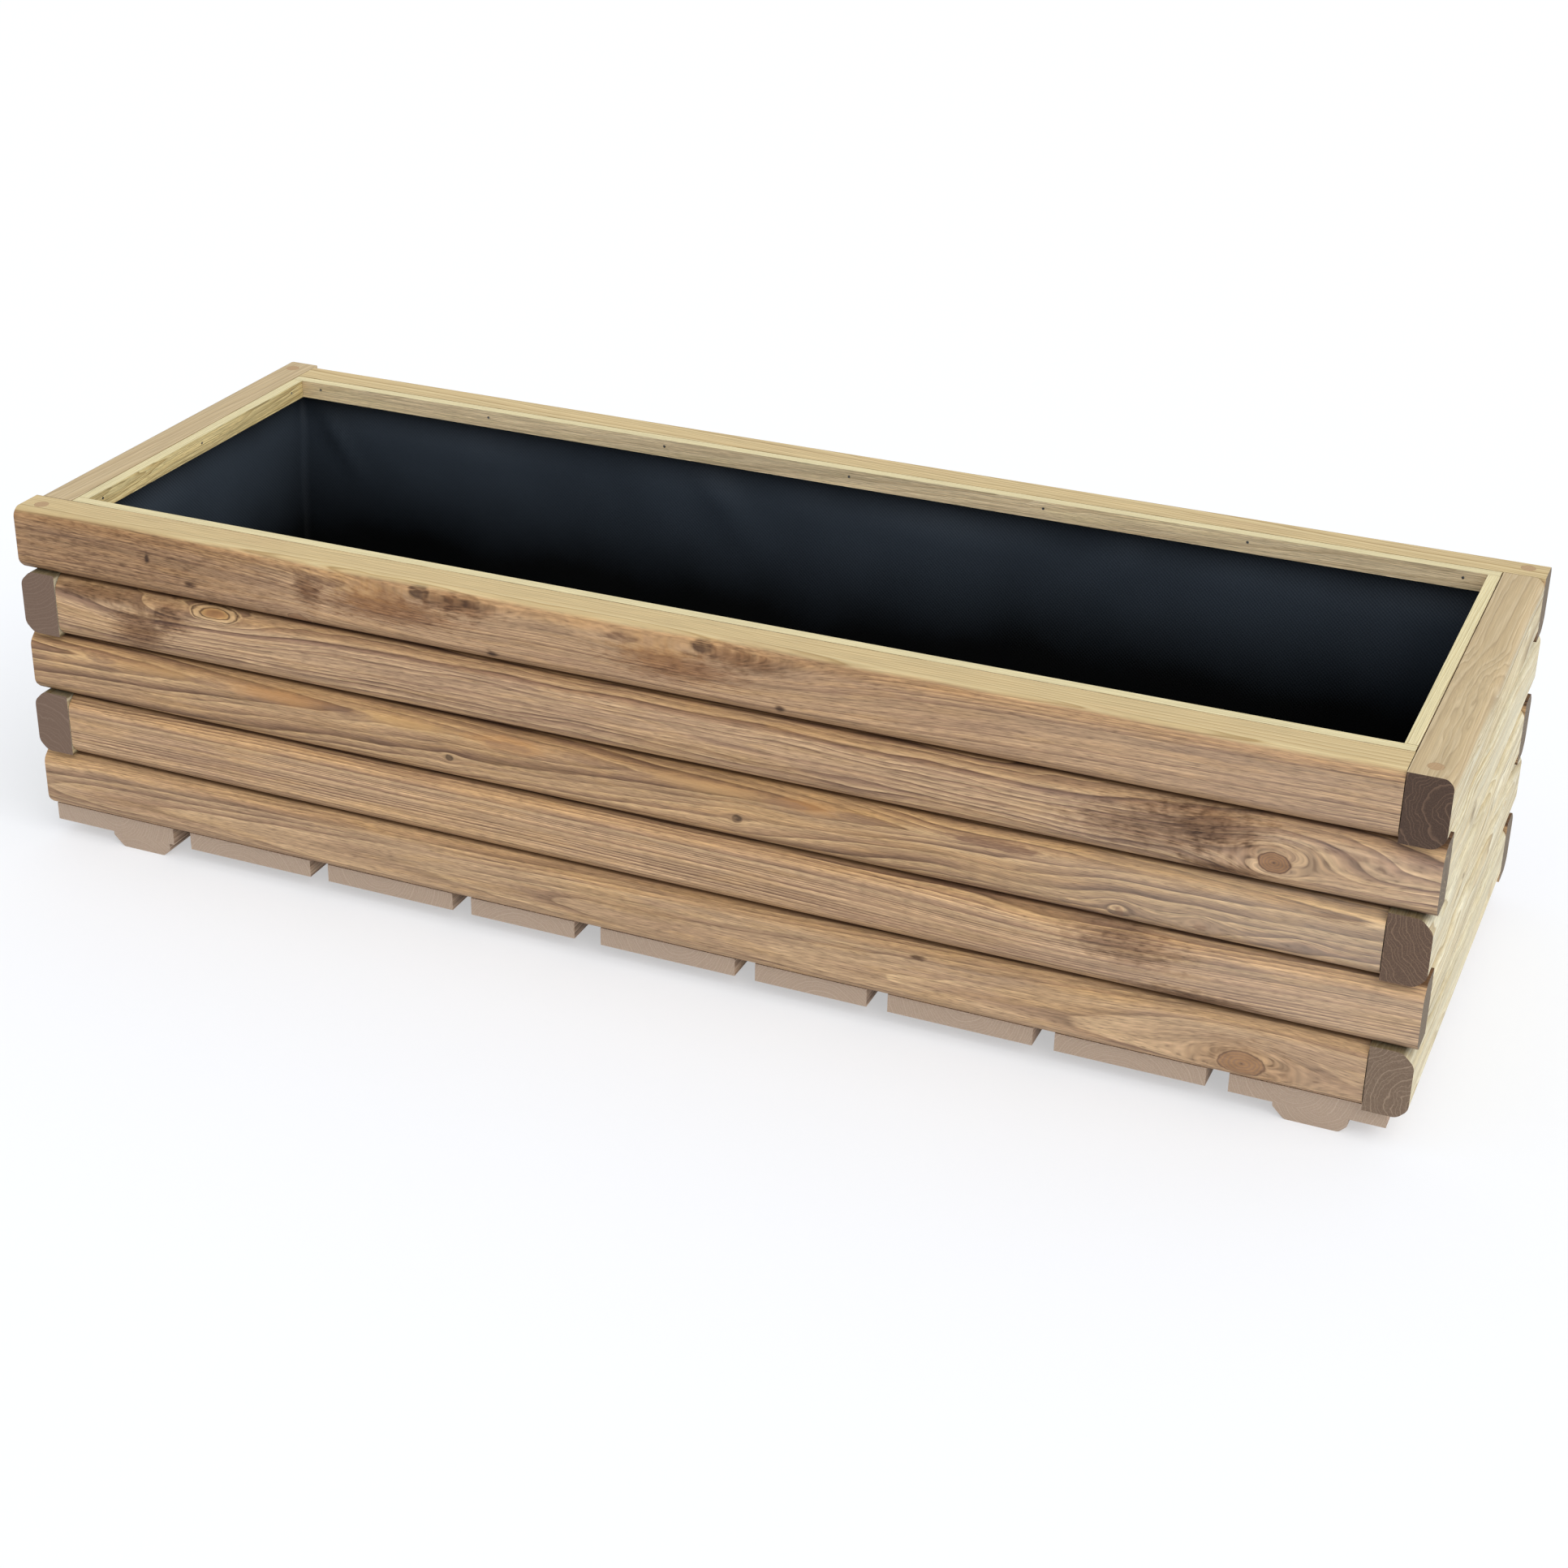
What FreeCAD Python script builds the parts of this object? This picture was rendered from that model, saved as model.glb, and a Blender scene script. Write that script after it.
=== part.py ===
"""Window box planter: a trough of lapped timber boards on a slatted base, lined with fabric.

Millimetres, +Z up. The origin is on the ground at the middle of the plan, and the front faces -Y.
Courses are numbered from 1 at the rim to the lowest one. Each wall's board covers its own start
corner in the odd courses and its own end corner in the even ones, so the corners interlock.
"""
import FreeCAD
import Part
import math
import os

quarter_turn = 90.0

# Trough
planter_length = 1500.0
planter_width = 535.0
course_count = 5

# Wall boards: square inside edges, outside edges bevelled and rounded over
board_height = 70.0
board_thickness = 42.0
upper_bevel = 12.0
lower_bevel = 10.0
rim_bevel = 6.5
board_blend = 12.0
butt_gap = 0.8

# Front boards that were cut a little short at their left end
short_courses = (3, 5)
short_by = 3.0

# Dowels that pin the corners
dowel_diameter = 15.0
dowel_clearance = 0.1

# Battens that trap the liner's top edge
batten_thickness = 12.0
batten_height = 20.0
batten_end_gap = 0.6

# Liner
liner_thickness = 0.8
liner_clearance = 0.3
liner_top_drop = 2.0
liner_floor_radius = 20.0
liner_sag = 9.0
liner_sag_height = 90.0
liner_sag_drop = 4.0

# Base slats, counted from the left
slat_count = 9
slat_thickness = 20.0
slat_width = 150.0
narrow_slats = (4, 6)
narrow_slat_width = 120.0
slat_left_inset = 6.0
slat_right_inset = 19.0
slat_end_inset = 10.0
wide_gap_after = 4
wide_slat_gap = 30.0

# Runners under the end slats
runner_thickness = 16.0
runner_width = 72.0
runner_left_inset = 78.0
runner_right_inset = 54.0
runner_upper_bevel = 12.0
runner_lower_bevel = 8.0
runner_blend = 6.0

# Batten brads
brad_diameter = 1.6
brad_head_diameter = 3.0
brad_head_height = 0.8
brad_length = 30.0
brad_end_margin = 80.0
brad_drop = 8.0
long_batten_brads = 7
short_batten_brads = 3

# Slat nails, driven up into the lowest boards
nail_diameter = 3.0
nail_head_diameter = 6.5
nail_head_height = 1.2
nail_length = 60.0
nail_edge_margin = 30.0

# Runner screws, countersunk from below
screw_diameter = 4.0
screw_head_diameter = 8.0
screw_head_height = 3.0
screw_length = 28.0
screw_recess = 1.0
screw_end_inset = 90.0
screws_per_runner = 4

# Holes are this much wider than their fasteners, on the radius
fastener_clearance = 0.05

# Heights and depths that follow
slat_bottom = runner_thickness
base_top = slat_bottom + slat_thickness
overall_height = base_top + course_count * board_height
dowel_inset = board_thickness / 2
batten_stand_off = liner_thickness + 2 * liner_clearance
batten_outer_depth = board_thickness + batten_stand_off
batten_inner_depth = batten_outer_depth + batten_thickness

# Each wall: its length, its quarter turns about Z, and the plan point of its start corner
WALLS = {
    "front": (planter_length, 0, (-planter_length / 2, -planter_width / 2)),
    "right": (planter_width, 1, (planter_length / 2, -planter_width / 2)),
    "back": (planter_length, 2, (planter_length / 2, planter_width / 2)),
    "left": (planter_width, 3, (-planter_length / 2, planter_width / 2)),
}
LONG_WALLS = ("front", "back")


def vec(x, y, z):
    """Return a point or a direction."""
    return FreeCAD.Vector(x, y, z)


def in_wall(shape, wall):
    """Move a shape from a wall's own frame, X along it and Y inwards, to the planter's frame."""
    length, turns, corner = WALLS[wall]
    placed = shape.copy()
    placed.rotate(vec(0, 0, 0), vec(0, 0, 1), turns * quarter_turn)
    placed.translate(vec(corner[0], corner[1], 0))
    return placed


def rounded_face(corners, blend):
    """Return a face through the corner points, with an arc of the blend radius at each blunt one."""
    edges = []
    ends = []
    count = len(corners)
    for i in range(count):
        here = corners[i]
        back = corners[i - 1] - here
        ahead = corners[(i + 1) % count] - here
        half_angle = back.getAngle(ahead) / 2
        if half_angle < math.pi / 3:
            ends.append((here, here))
            continue
        reach = min(blend / math.tan(half_angle), 0.4 * back.Length, 0.4 * ahead.Length)
        radius = reach * math.tan(half_angle)
        back.normalize()
        ahead.normalize()
        middle_direction = (back + ahead).normalize()
        middle = here + middle_direction * (radius / math.sin(half_angle) - radius)
        start = here + back * reach
        end = here + ahead * reach
        edges.append(Part.Arc(start, middle, end).toShape())
        ends.append((start, end))
    for i in range(count):
        edges.append(Part.LineSegment(ends[i - 1][1], ends[i][0]).toShape())
    return Part.Face(Part.Wire(Part.__sortEdges__(edges)))


def bevelled_bar(length, height, thickness, upper, lower, blend):
    """Return a bar along X with its outer face at Y zero and both outer edges bevelled."""
    corners = [
        vec(0, thickness, 0),
        vec(0, lower, 0),
        vec(0, 0, lower),
        vec(0, 0, height - upper),
        vec(0, upper, height),
        vec(0, thickness, height),
    ]
    return rounded_face(corners, blend).extrude(vec(length, 0, 0))


def box(low, high):
    """Return a box between two opposite corners."""
    return Part.makeBox(high[0] - low[0], high[1] - low[1], high[2] - low[2], vec(*low))


def flat_pin(diameter, head_diameter, head_height, length, spare=0.0):
    """Return a nail pointing up from its head at the origin, or its hole if spare is given."""
    shank = Part.makeCylinder(diameter / 2 + spare, length + spare)
    head = Part.makeCylinder(head_diameter / 2 + spare, head_height)
    return shank.fuse(head).removeSplitter()


def slat_nail(spare=0.0):
    """Return a nail for the base slats, or its hole."""
    return flat_pin(nail_diameter, nail_head_diameter, nail_head_height, nail_length, spare)


def brad(spare=0.0):
    """Return a batten brad that points out through a wall, its head at the origin, or its hole."""
    pin = flat_pin(brad_diameter, brad_head_diameter, brad_head_height, brad_length, spare)
    pin.rotate(vec(0, 0, 0), vec(1, 0, 0), quarter_turn)
    return pin


def runner_screw(spare=0.0):
    """Return a countersunk screw pointing up from its head at the origin, or its hole."""
    shank_radius = screw_diameter / 2 + spare
    head_radius = screw_head_diameter / 2 + spare
    shank = Part.makeCylinder(shank_radius, screw_length + spare)
    head = Part.makeCone(head_radius, shank_radius, screw_head_height)
    pin = shank.fuse(head).removeSplitter()
    if spare:
        mouth = Part.makeCylinder(head_radius, screw_recess, vec(0, 0, -screw_recess))
        pin = pin.fuse(mouth)
    return pin


def copies(shape, places):
    """Return one copy of a shape at each place."""
    moved = []
    for place in places:
        one = shape.copy()
        one.translate(place)
        moved.append(one)
    return moved


def spread(first, last, count):
    """Return evenly spaced values from first to last."""
    step = (last - first) / (count - 1)
    return [first + step * i for i in range(count)]


def course_bottom(course):
    """Return the height of the underside of a course."""
    return base_top + (course_count - course) * board_height


def board_span(wall, course):
    """Return where a board starts and ends along its wall."""
    length = WALLS[wall][0]
    if course % 2 == 0:
        return board_thickness + butt_gap, length
    start = short_by if wall == "front" and course in short_courses else 0.0
    return start, length - board_thickness - butt_gap


def dowel_place(wall, at_start):
    """Return where a dowel stands in a wall's own frame."""
    length = WALLS[wall][0]
    along = dowel_inset if at_start else length - dowel_inset
    return vec(along, dowel_inset, base_top)


def brad_places(wall):
    """Return the brad heads along a wall's batten, in the wall's own frame."""
    length = WALLS[wall][0]
    count = long_batten_brads if wall in LONG_WALLS else short_batten_brads
    height = overall_height - brad_drop
    return [
        vec(along, batten_inner_depth, height)
        for along in spread(brad_end_margin, length - brad_end_margin, count)
    ]


def slat_spans():
    """Return where each slat starts and ends along X."""
    widths = [
        narrow_slat_width if number in narrow_slats else slat_width
        for number in range(1, slat_count + 1)
    ]
    room = planter_length - slat_left_inset - slat_right_inset
    gap = (room - sum(widths) - wide_slat_gap) / (slat_count - 2)
    spans = []
    start = -planter_length / 2 + slat_left_inset
    for number, width in enumerate(widths, 1):
        spans.append((start, start + width))
        start += width + (wide_slat_gap if number == wide_gap_after else gap)
    return spans


def slat_nail_places():
    """Return the nail heads under the slats: two at each end of each slat."""
    rows = (
        -planter_width / 2 + board_thickness / 2,
        planter_width / 2 - board_thickness / 2,
    )
    places = []
    for start, end in slat_spans():
        for x in (start + nail_edge_margin, end - nail_edge_margin):
            for y in rows:
                places.append(vec(x, y, slat_bottom))
    return places


def runner_start(side):
    """Return the X of a runner's left edge."""
    if side == "left":
        return -planter_length / 2 + runner_left_inset
    return planter_length / 2 - runner_right_inset - runner_width


def screw_places(side):
    """Return the screw heads along a runner."""
    middle = runner_start(side) + runner_width / 2
    reach = planter_width / 2 - screw_end_inset
    return [vec(middle, y, screw_recess) for y in spread(-reach, reach, screws_per_runner)]


def wall_board(wall, course, holes):
    """Return one wall board with its dowel hole and any fastener holes."""
    start, end = board_span(wall, course)
    bevel = rim_bevel if course == 1 else upper_bevel
    bar = bevelled_bar(
        end - start, board_height, board_thickness, bevel, lower_bevel, board_blend)
    bar.translate(vec(start, 0, course_bottom(course)))
    hole_radius = dowel_diameter / 2 + dowel_clearance
    tall = Part.makeCylinder(hole_radius, overall_height)
    tall.translate(dowel_place(wall, course % 2 == 1))
    board = in_wall(bar.cut(tall), wall)
    if course == course_count:
        board = board.cut(holes["slat_nails"])
    if course == 1:
        board = board.cut(holes["brads"])
    return board


def corner_dowel(wall):
    """Return the dowel at a wall's start corner, through every course."""
    dowel = Part.makeCylinder(dowel_diameter / 2, course_count * board_height)
    dowel.translate(dowel_place(wall, True))
    return in_wall(dowel, wall)


def liner_batten(wall, holes):
    """Return the batten inside a wall's rim; the short ones fit between the long ones."""
    length = WALLS[wall][0]
    inset = batten_outer_depth
    if wall not in LONG_WALLS:
        inset = batten_inner_depth + batten_end_gap
    low = (inset, batten_outer_depth, overall_height - batten_height)
    high = (length - inset, batten_inner_depth, overall_height)
    return in_wall(box(low, high), wall).cut(holes["brads"])


def liner_wall_edges(reach, floor, top, radius, side):
    """Return the section of one liner wall from its top edge to the floor, with its sag."""
    sag_top = overall_height - batten_height - liner_sag_drop
    quarter = liner_sag_height / 4
    bend = (4 * quarter ** 2 + liner_sag ** 2) / (4 * liner_sag)
    half_turn = math.asin(quarter / bend) / 2
    dip_across = bend * (1 - math.cos(half_turn))
    dip_down = bend * math.sin(half_turn)

    def at(inwards, height):
        return vec(side * (reach - inwards), 0, height)

    high = at(0, sag_top)
    high_middle = at(dip_across, sag_top - dip_down)
    high_turn = at(liner_sag / 2, sag_top - quarter)
    crest = at(liner_sag, sag_top - 2 * quarter)
    low_turn = at(liner_sag / 2, sag_top - 3 * quarter)
    low_middle = at(dip_across, sag_top - 4 * quarter + dip_down)
    low = at(0, sag_top - 4 * quarter)
    floor_start = at(0, floor + radius)
    floor_middle = at(radius * (1 - math.sqrt(0.5)), floor + radius * (1 - math.sqrt(0.5)))
    floor_end = at(radius, floor)
    return [
        Part.LineSegment(at(0, top), high).toShape(),
        Part.Arc(high, high_middle, high_turn).toShape(),
        Part.Arc(high_turn, crest, low_turn).toShape(),
        Part.Arc(low_turn, low_middle, low).toShape(),
        Part.LineSegment(low, floor_start).toShape(),
        Part.Arc(floor_start, floor_middle, floor_end).toShape(),
    ]


def liner_section(reach, floor, top, radius):
    """Return the face across the liner, in the XZ plane."""
    edges = []
    for side in (-1, 1):
        edges += liner_wall_edges(reach, floor, top, radius, side)
    edges.append(Part.LineSegment(vec(-reach, 0, top), vec(reach, 0, top)).toShape())
    span = reach - radius
    edges.append(Part.LineSegment(vec(-span, 0, floor), vec(span, 0, floor)).toShape())
    return Part.Face(Part.Wire(Part.__sortEdges__(edges)))


def liner_block(inset, top):
    """Return the space inside the liner's skin at a depth below its outside."""
    gap = board_thickness + liner_clearance + inset
    floor = base_top + liner_clearance + inset
    radius = liner_floor_radius - inset
    along = liner_section(planter_length / 2 - gap, floor, top, radius)
    across = liner_section(planter_width / 2 - gap, floor, top, radius)
    along.translate(vec(0, -planter_width / 2, 0))
    across.rotate(vec(0, 0, 0), vec(0, 0, 1), quarter_turn)
    across.translate(vec(-planter_length / 2, 0, 0))
    long_block = along.extrude(vec(0, planter_width, 0))
    cross_block = across.extrude(vec(planter_length, 0, 0))
    return long_block.common(cross_block)


def liner(holes):
    """Return the fabric liner: a thin open tray that sags a little below the battens."""
    top = overall_height - liner_top_drop
    outside = liner_block(0.0, top)
    inside = liner_block(liner_thickness, top + liner_top_drop)
    return outside.cut(inside).cut(holes["brads"])


def base_slat(span, holes):
    """Return one base slat from front to back under the walls."""
    reach = planter_width / 2 - slat_end_inset
    slat = box((span[0], -reach, slat_bottom), (span[1], reach, base_top))
    return slat.cut(holes["slat_nails"]).cut(holes["runner_screws"])


def foot_runner(side, holes):
    """Return one runner along Y, its bevelled face down and its wider bevel to the left."""
    reach = planter_width / 2 - slat_end_inset
    bar = bevelled_bar(
        2 * reach, runner_width, runner_thickness, runner_upper_bevel, runner_lower_bevel,
        runner_blend)
    bar.rotate(vec(0, 0, 0), vec(1, 0, 0), quarter_turn)
    bar.rotate(vec(0, 0, 0), vec(0, 0, 1), -quarter_turn)
    bar.translate(vec(runner_start(side) + runner_width, reach, 0))
    return bar.cut(holes["runner_screws"])


def save(name, shape):
    """Write one node."""
    shape.exportStep("parts/" + name + ".step")


def main():
    """Build every node."""
    os.makedirs("parts", exist_ok=True)
    brad_heads = {wall: brad_places(wall) for wall in WALLS}
    screw_heads = screw_places("left") + screw_places("right")
    brads = [in_wall(one, wall) for wall in WALLS for one in copies(brad(), brad_heads[wall])]
    brad_holes = [
        in_wall(one, wall)
        for wall in WALLS
        for one in copies(brad(fastener_clearance), brad_heads[wall])
    ]
    holes = {
        "brads": brad_holes,
        "slat_nails": copies(slat_nail(fastener_clearance), slat_nail_places()),
        "runner_screws": copies(runner_screw(fastener_clearance), screw_heads),
    }
    for wall in WALLS:
        for course in range(1, course_count + 1):
            save(wall + "_board_" + str(course), wall_board(wall, course, holes))
        save("liner_batten_" + wall, liner_batten(wall, holes))
    for name, wall in (
            ("front_left", "front"), ("front_right", "right"),
            ("back_right", "back"), ("back_left", "left")):
        save("corner_dowel_" + name, corner_dowel(wall))
    save("liner", liner(holes))
    for number, span in enumerate(slat_spans(), 1):
        save("base_slat_" + str(number), base_slat(span, holes))
    for side in ("left", "right"):
        save("foot_runner_" + side, foot_runner(side, holes))
    save("batten_brads", Part.makeCompound(brads))
    save("slat_nails", Part.makeCompound(copies(slat_nail(), slat_nail_places())))
    save("runner_screws", Part.makeCompound(copies(runner_screw(), screw_heads)))


main()
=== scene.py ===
"""Looks of the window box planter: stained wall boards, sawn battens and slats, a woven liner."""
import logging
import math
from dataclasses import dataclass, field, replace
from enum import Enum
from functools import partial
from typing import Any, Callable

import bmesh
import bpy
from mathutils import Matrix, Vector, noise


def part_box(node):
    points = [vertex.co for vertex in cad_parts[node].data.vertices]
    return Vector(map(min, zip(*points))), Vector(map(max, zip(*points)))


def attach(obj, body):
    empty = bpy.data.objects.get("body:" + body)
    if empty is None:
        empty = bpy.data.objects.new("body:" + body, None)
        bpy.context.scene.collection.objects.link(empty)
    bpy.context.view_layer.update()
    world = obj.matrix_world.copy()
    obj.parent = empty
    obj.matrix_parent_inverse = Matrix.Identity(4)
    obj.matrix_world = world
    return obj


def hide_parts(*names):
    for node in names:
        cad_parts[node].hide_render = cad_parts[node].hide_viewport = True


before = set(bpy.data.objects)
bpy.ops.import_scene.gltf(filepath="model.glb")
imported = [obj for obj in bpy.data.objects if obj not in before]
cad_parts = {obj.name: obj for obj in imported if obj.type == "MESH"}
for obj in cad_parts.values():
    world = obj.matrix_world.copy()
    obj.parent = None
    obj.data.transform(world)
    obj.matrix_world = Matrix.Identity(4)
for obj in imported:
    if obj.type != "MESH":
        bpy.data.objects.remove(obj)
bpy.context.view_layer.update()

MM = 0.001
PER_METRE = 1000.0
LOG = logging.getLogger("planter")

Vec3 = tuple[float, float, float]
Colour = tuple[float, float, float, float]
Band = tuple[float, float, float, float]
Tones = tuple[tuple[float, str], ...]
Socket = bpy.types.NodeSocket
Nodes = bpy.types.NodeTree

# The sockets of a colour mix: its share, the colour below, the colour laid on, and the result.
SHARE, BELOW, OVER, MIXED = 0, 6, 7, 2
# What a mode sets on the nodes whose modes aren't operations.
MODES = {
    "MapRange": "interpolation_type", "Mix": "blend_type", "TexNoise": "noise_dimensions",
    "TexWhiteNoise": "noise_dimensions"}
WHITE = (1.0, 1.0, 1.0, 1.0)


def to_linear(hex_colour: str) -> Colour:
    """Turn an sRGB hex colour into linear light.

    Args:
        hex_colour: six hex digits, such as "c8a070".

    Returns:
        Linear red, green, blue and an alpha of one.
    """
    parts = []
    for start in (0, 2, 4):
        value = int(hex_colour[start:start + 2], 16) / 255
        parts.append(value / 12.92 if value <= 0.04045 else ((value + 0.055) / 1.055) ** 2.4)
    return parts[0], parts[1], parts[2], 1.0


def add_node(
    tree: Nodes,
    kind: str,
    inputs: tuple | dict[int | str, Any] = (),
    output: int | str = 0,
    **settings: Any,
) -> Socket:
    """Add a node, set its properties, and fill or link its inputs.

    Args:
        tree: the node tree that gets the node.
        kind: the node's type, without the words that every type starts with, and after a colon
            its operation or other mode.
        inputs: what goes into the inputs, in order or by name. A socket is linked, a hex colour
            is turned to linear, and anything else is the input's value.
        output: the output that is wanted.
        settings: the node's own properties. A ramp's stops are given as stops.

    Returns:
        The wanted output socket.
    """
    kind, _, mode = kind.partition(":")
    node = tree.nodes.new(f"ShaderNode{kind}")
    if kind == "Mix":
        node.data_type = "RGBA"
    if mode:
        setattr(node, MODES.get(kind, "operation"), mode)
    stops = settings.pop("stops", ())
    for name, value in settings.items():
        setattr(node, name, value)
    for name, value in (inputs.items() if isinstance(inputs, dict) else enumerate(inputs)):
        if isinstance(value, Socket):
            tree.links.new(value, node.inputs[name])
        else:
            node.inputs[name].default_value = (
                to_linear(value) if isinstance(value, str) else value)
    for number, (place, colour) in enumerate(stops):
        ramp = node.color_ramp.elements
        stop = ramp[number] if number < 2 else ramp.new(place)
        stop.position = place
        stop.color = to_linear(colour)
    return node.outputs[output]


def new_material(name: str) -> tuple[bpy.types.Material, Nodes]:
    """Start a material without nodes.

    Args:
        name: the material's name.

    Returns:
        The material and its node tree.
    """
    made = bpy.data.materials.new(name)
    made.use_nodes = True
    made.node_tree.nodes.clear()
    return made, made.node_tree


def set_surface(tree: Nodes, shader: Socket, kind: str = "Material") -> None:
    """Make a shader the surface of a material, or of a World."""
    tree.links.new(shader, tree.nodes.new(f"ShaderNodeOutput{kind}").inputs["Surface"])


def add_object(name: str, data: bpy.types.ID) -> bpy.types.Object:
    """Put a mesh, a camera or a light into the scene.

    Args:
        name: the object's name.
        data: what it shows.

    Returns:
        The object.
    """
    made = bpy.data.objects.new(name, data)
    bpy.context.scene.collection.objects.link(made)
    return made


def new_group(
    name: str, takes: dict[str, str], gives: dict[str, str],
) -> tuple[Nodes, Any, Any]:
    """Start a node group with its sockets.

    Args:
        name: the group's name.
        takes: the inputs' names, each with Float or Vector or Color.
        gives: the outputs' names, in the same way.

    Returns:
        The group, the sockets that it is given and the sockets that it fills.
    """
    tree = bpy.data.node_groups.new(name, "ShaderNodeTree")
    for side, sockets in (("INPUT", takes), ("OUTPUT", gives)):
        for label, kind in sockets.items():
            tree.interface.new_socket(label, in_out=side, socket_type=f"NodeSocket{kind}")
    given = tree.nodes.new("NodeGroupInput").outputs
    result = tree.nodes.new("NodeGroupOutput").inputs
    return tree, given, result


class Axis(Enum):
    """How a timber lies: along its grain, from its best face inwards, and up that face."""

    FRONT = ((1, 0, 0), (0, 1, 0), (0, 0, 1))
    RIGHT = ((0, 1, 0), (-1, 0, 0), (0, 0, 1))
    BACK = ((-1, 0, 0), (0, -1, 0), (0, 0, 1))
    LEFT = ((0, -1, 0), (1, 0, 0), (0, 0, 1))
    SLAT = ((0, -1, 0), (0, 0, 1), (-1, 0, 0))
    UPRIGHT = ((0, 0, 1), (1, 0, 0), (0, 1, 0))


class MarkKind(Enum):
    """What breaks the plain grain of a board. Its value is how ragged its outline is."""

    KNOT = 0.5
    EYE = 0.4
    BARK = 1.6
    SMUDGE = 1.5
    TORN = 1.4
    GLOW = 0.8
    TIP = 0.9
    FLOW = 0.0


KNOT, EYE, BARK, SMUDGE, TORN, GLOW, TIP, FLOW = MarkKind


@dataclass(frozen=True)
class Mark:
    """A spot on a board, in millimetres: a knot or a knot's eye, a bark pocket, a dark smudge, a
    torn patch, a golden glow, the dark tip of a flame, or only a bend in the grain's flow.

    Its place is measured from the wall's middle along the grain, and up from the board's middle.
    Its sizes are half its length and half its height. The grain bends round it by its flow.
    """

    kind: MarkKind
    along: float
    up: float
    length: float
    height: float
    share: float = 1.0
    tint: str = "6a5547"
    flow: float = 0.0


@dataclass(frozen=True)
class Timber:
    """How one piece was cut from its log, in millimetres.

    The pith lies at a depth behind the best face and a height above its middle. The slope is how
    fast the cut crosses the rings along the grain, and a crown of -1 turns the flames round.
    """

    node: str
    axis: Axis
    seed: float
    pith_depth: float = -10.0
    pith_up: float = 10.0
    slope: float = 0.02
    crown: float = 1.0
    squash: float = 0.7
    ring: float = 4.0
    sway: float = 4.0
    ripple: float = 0.6
    contrast: float = 1.0
    early: float = 0.55
    tone: str = "ffffff"
    # Shares of the painted shade in the groove above the board, and in the groove and on the lower
    # bevel below it; where a board lies above, there is no rim.
    shade_above: float = 1.0
    shade_below: float = 1.0
    pale: float = 0.0
    marks: tuple[Mark, ...] = ()


@dataclass(frozen=True)
class SoftwoodFinish:
    """A redwood or spruce surface: how it was cut, what stain or weather did to it, and the shade
    and highlight painted on its grooves, lower bevels and upper bevels.

    The colours run through one ring from the pale spring wood to the dark line of the autumn
    wood, which took the stain as a mauve brown.
    """

    name: str
    spring: str
    middle: str
    summer: str
    autumn: str
    line: str
    plain: str
    smoke: str
    honey: str
    rim: str
    rim_pale: str
    rim_line: str
    end_dark: str
    end_light: str
    knot: str
    bark: str
    # Tints multiplied in: a painted warm highlight on the upper bevel, painted shade on the lower
    # bevel and in the grooves.
    bevel: str = "ffffff"
    underside_shade: str = "ffffff"
    groove_shade: str = "ffffff"
    roughness: float = 0.62
    relief: float = 0.3
    rim_share: float = 0.6
    rim_band: tuple[float, float] = (-5.0, -0.3)
    bevel_highlight_share: float = 0.4
    stray: float = 7.0
    sawn: bool = False
    fuzz: float = 0.18
    fleck: float = 0.1
    spell: float = 0.14

    def stops(self, tones: Tones) -> Tones:
        """Return a ramp's stops with this wood's colours in place of their names."""
        return tuple((place, getattr(self, tone)) for place, tone in tones)


# Planed redwood under a worn brown stain: straw and honey between mauve-brown autumn lines, with
# painted shade in the grooves and on the lower bevels, a faint painted warm highlight on the upper
# bevels, and a paler, greener rim.
STAINED = SoftwoodFinish(
    name="stained_redwood_planed", spring="dabd97", middle="c3a584", summer="b09276",
    autumn="8f725e", line="664b3b", plain="bb9e80", smoke="987b68", honey="cca878",
    bevel="fff8ea", underside_shade="dcd8d2", groove_shade="7c6858", rim="cbb586", rim_pale="d6c496",
    rim_line="a98e5e", end_dark="5c4c39", end_light="82725a", knot="a8815c", bark="4f3829",
    rim_share=0.85, bevel_highlight_share=1.0, fuzz=0.25, fleck=0.2, spell=0.1)
# The same boards in a greyish cream for the end walls, with faint rings and dark end grain: partly
# painted light, standing in for the bright light on the right side, and partly a paler, greener
# tone.
PALE_LIT_SIDE = SoftwoodFinish(
    name="pale_lit_side_redwood_planed", spring="ded7bf", middle="d5ccb1", summer="c9bb98",
    autumn="bba984", line="9d8764", plain="d1c8ac", smoke="b6a482", honey="d2bc8b",
    underside_shade="e2ded6", groove_shade="8f8370", rim="b9a27d", rim_pale="c2ac88",
    rim_line="a99371", end_dark="4a3626", end_light="6a5140", knot="b5946a", bark="80684a",
    rim_share=0.9, rim_band=(-14.0, -6.0), bevel_highlight_share=0.0, stray=22.0, fuzz=0.16,
    spell=0.1)
SHADED = replace(
    PALE_LIT_SIDE, name="pale_side_redwood_stained", end_dark="705a4b", end_light="806a5a")
# Fresh sawn pine: a light cream with greenish edges and a furry surface.
CREAM = SoftwoodFinish(
    name="fresh_pine_sawn", spring="fbe6c0", middle="f3dcb4", summer="ead0a6",
    autumn="dabe94", line="b0946c", plain="f0d8b0", smoke="dcc29c", honey="f5dfac",
    rim="d9cca0", rim_pale="e2d8b2", rim_line="c4b080", end_dark="a5855a",
    end_light="c8ad7c", knot="a5744a", bark="6b4c30",
    rim_share=0.95, rim_band=(-0.6, -0.1), bevel_highlight_share=0.0, stray=0.0, sawn=True,
    relief=0.6, fuzz=0.3)
# A beech plug shows plain brown end grain.
PLUG = replace(
    STAINED, name="beech_dowel_sawn", end_dark="a88a66", end_light="b89a76",
    rim_share=0.0, bevel_highlight_share=0.0, groove_shade="ffffff", underside_shade="ffffff")
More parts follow.
